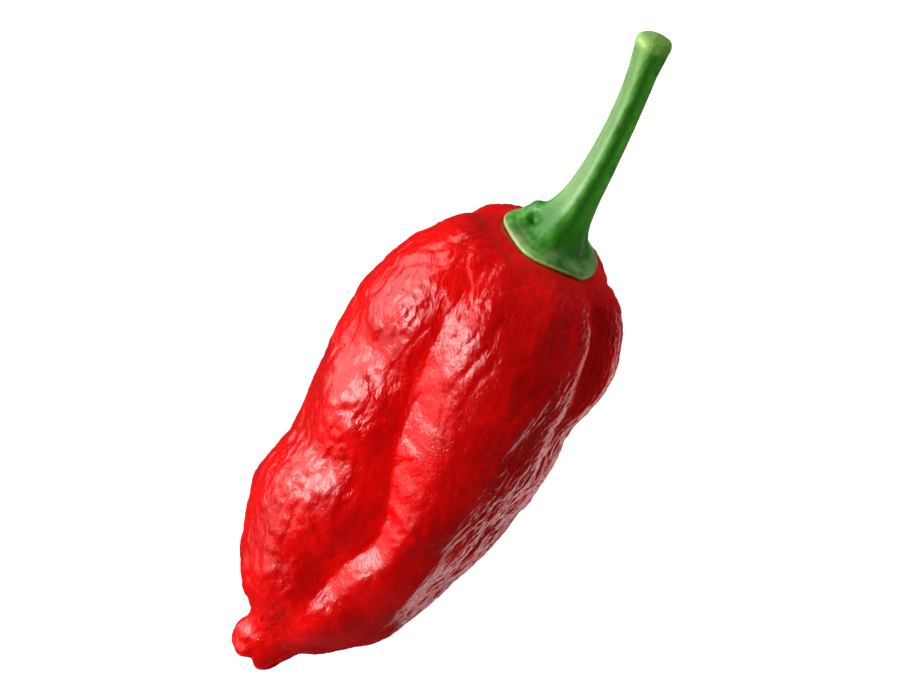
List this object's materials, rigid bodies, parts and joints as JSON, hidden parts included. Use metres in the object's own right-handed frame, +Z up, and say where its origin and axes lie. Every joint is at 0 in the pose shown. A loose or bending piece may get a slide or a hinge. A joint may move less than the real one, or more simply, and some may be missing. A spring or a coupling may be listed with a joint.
{
  "type": "naga morich pepper",
  "caption": "Picked naga morich chilli pepper lying on its side: a wrinkled, furrowed red pod with a knobbed tip, and a green calyx and stem.",
  "frame": {"origin": "middle of the flat spot under the pod that it rests on, on the surface below it and under the pepper's weight", "axes": "+X along the pod from its tip to its stem, +Y to the pod's left seen from above with the stem ahead, +Z up"},
  "size_m": [0.1007, 0.0332, 0.0297],
  "materials": {
    "pod_skin": "glossy wrinkled fruit skin, deep red",
    "stalk_skin": "satin green plant skin, paler along its ribs and rim"
  },
  "bodies": {
    "root": {"pod": "pod_skin", "stalk": "stalk_skin"}
  },
  "joints": []
}
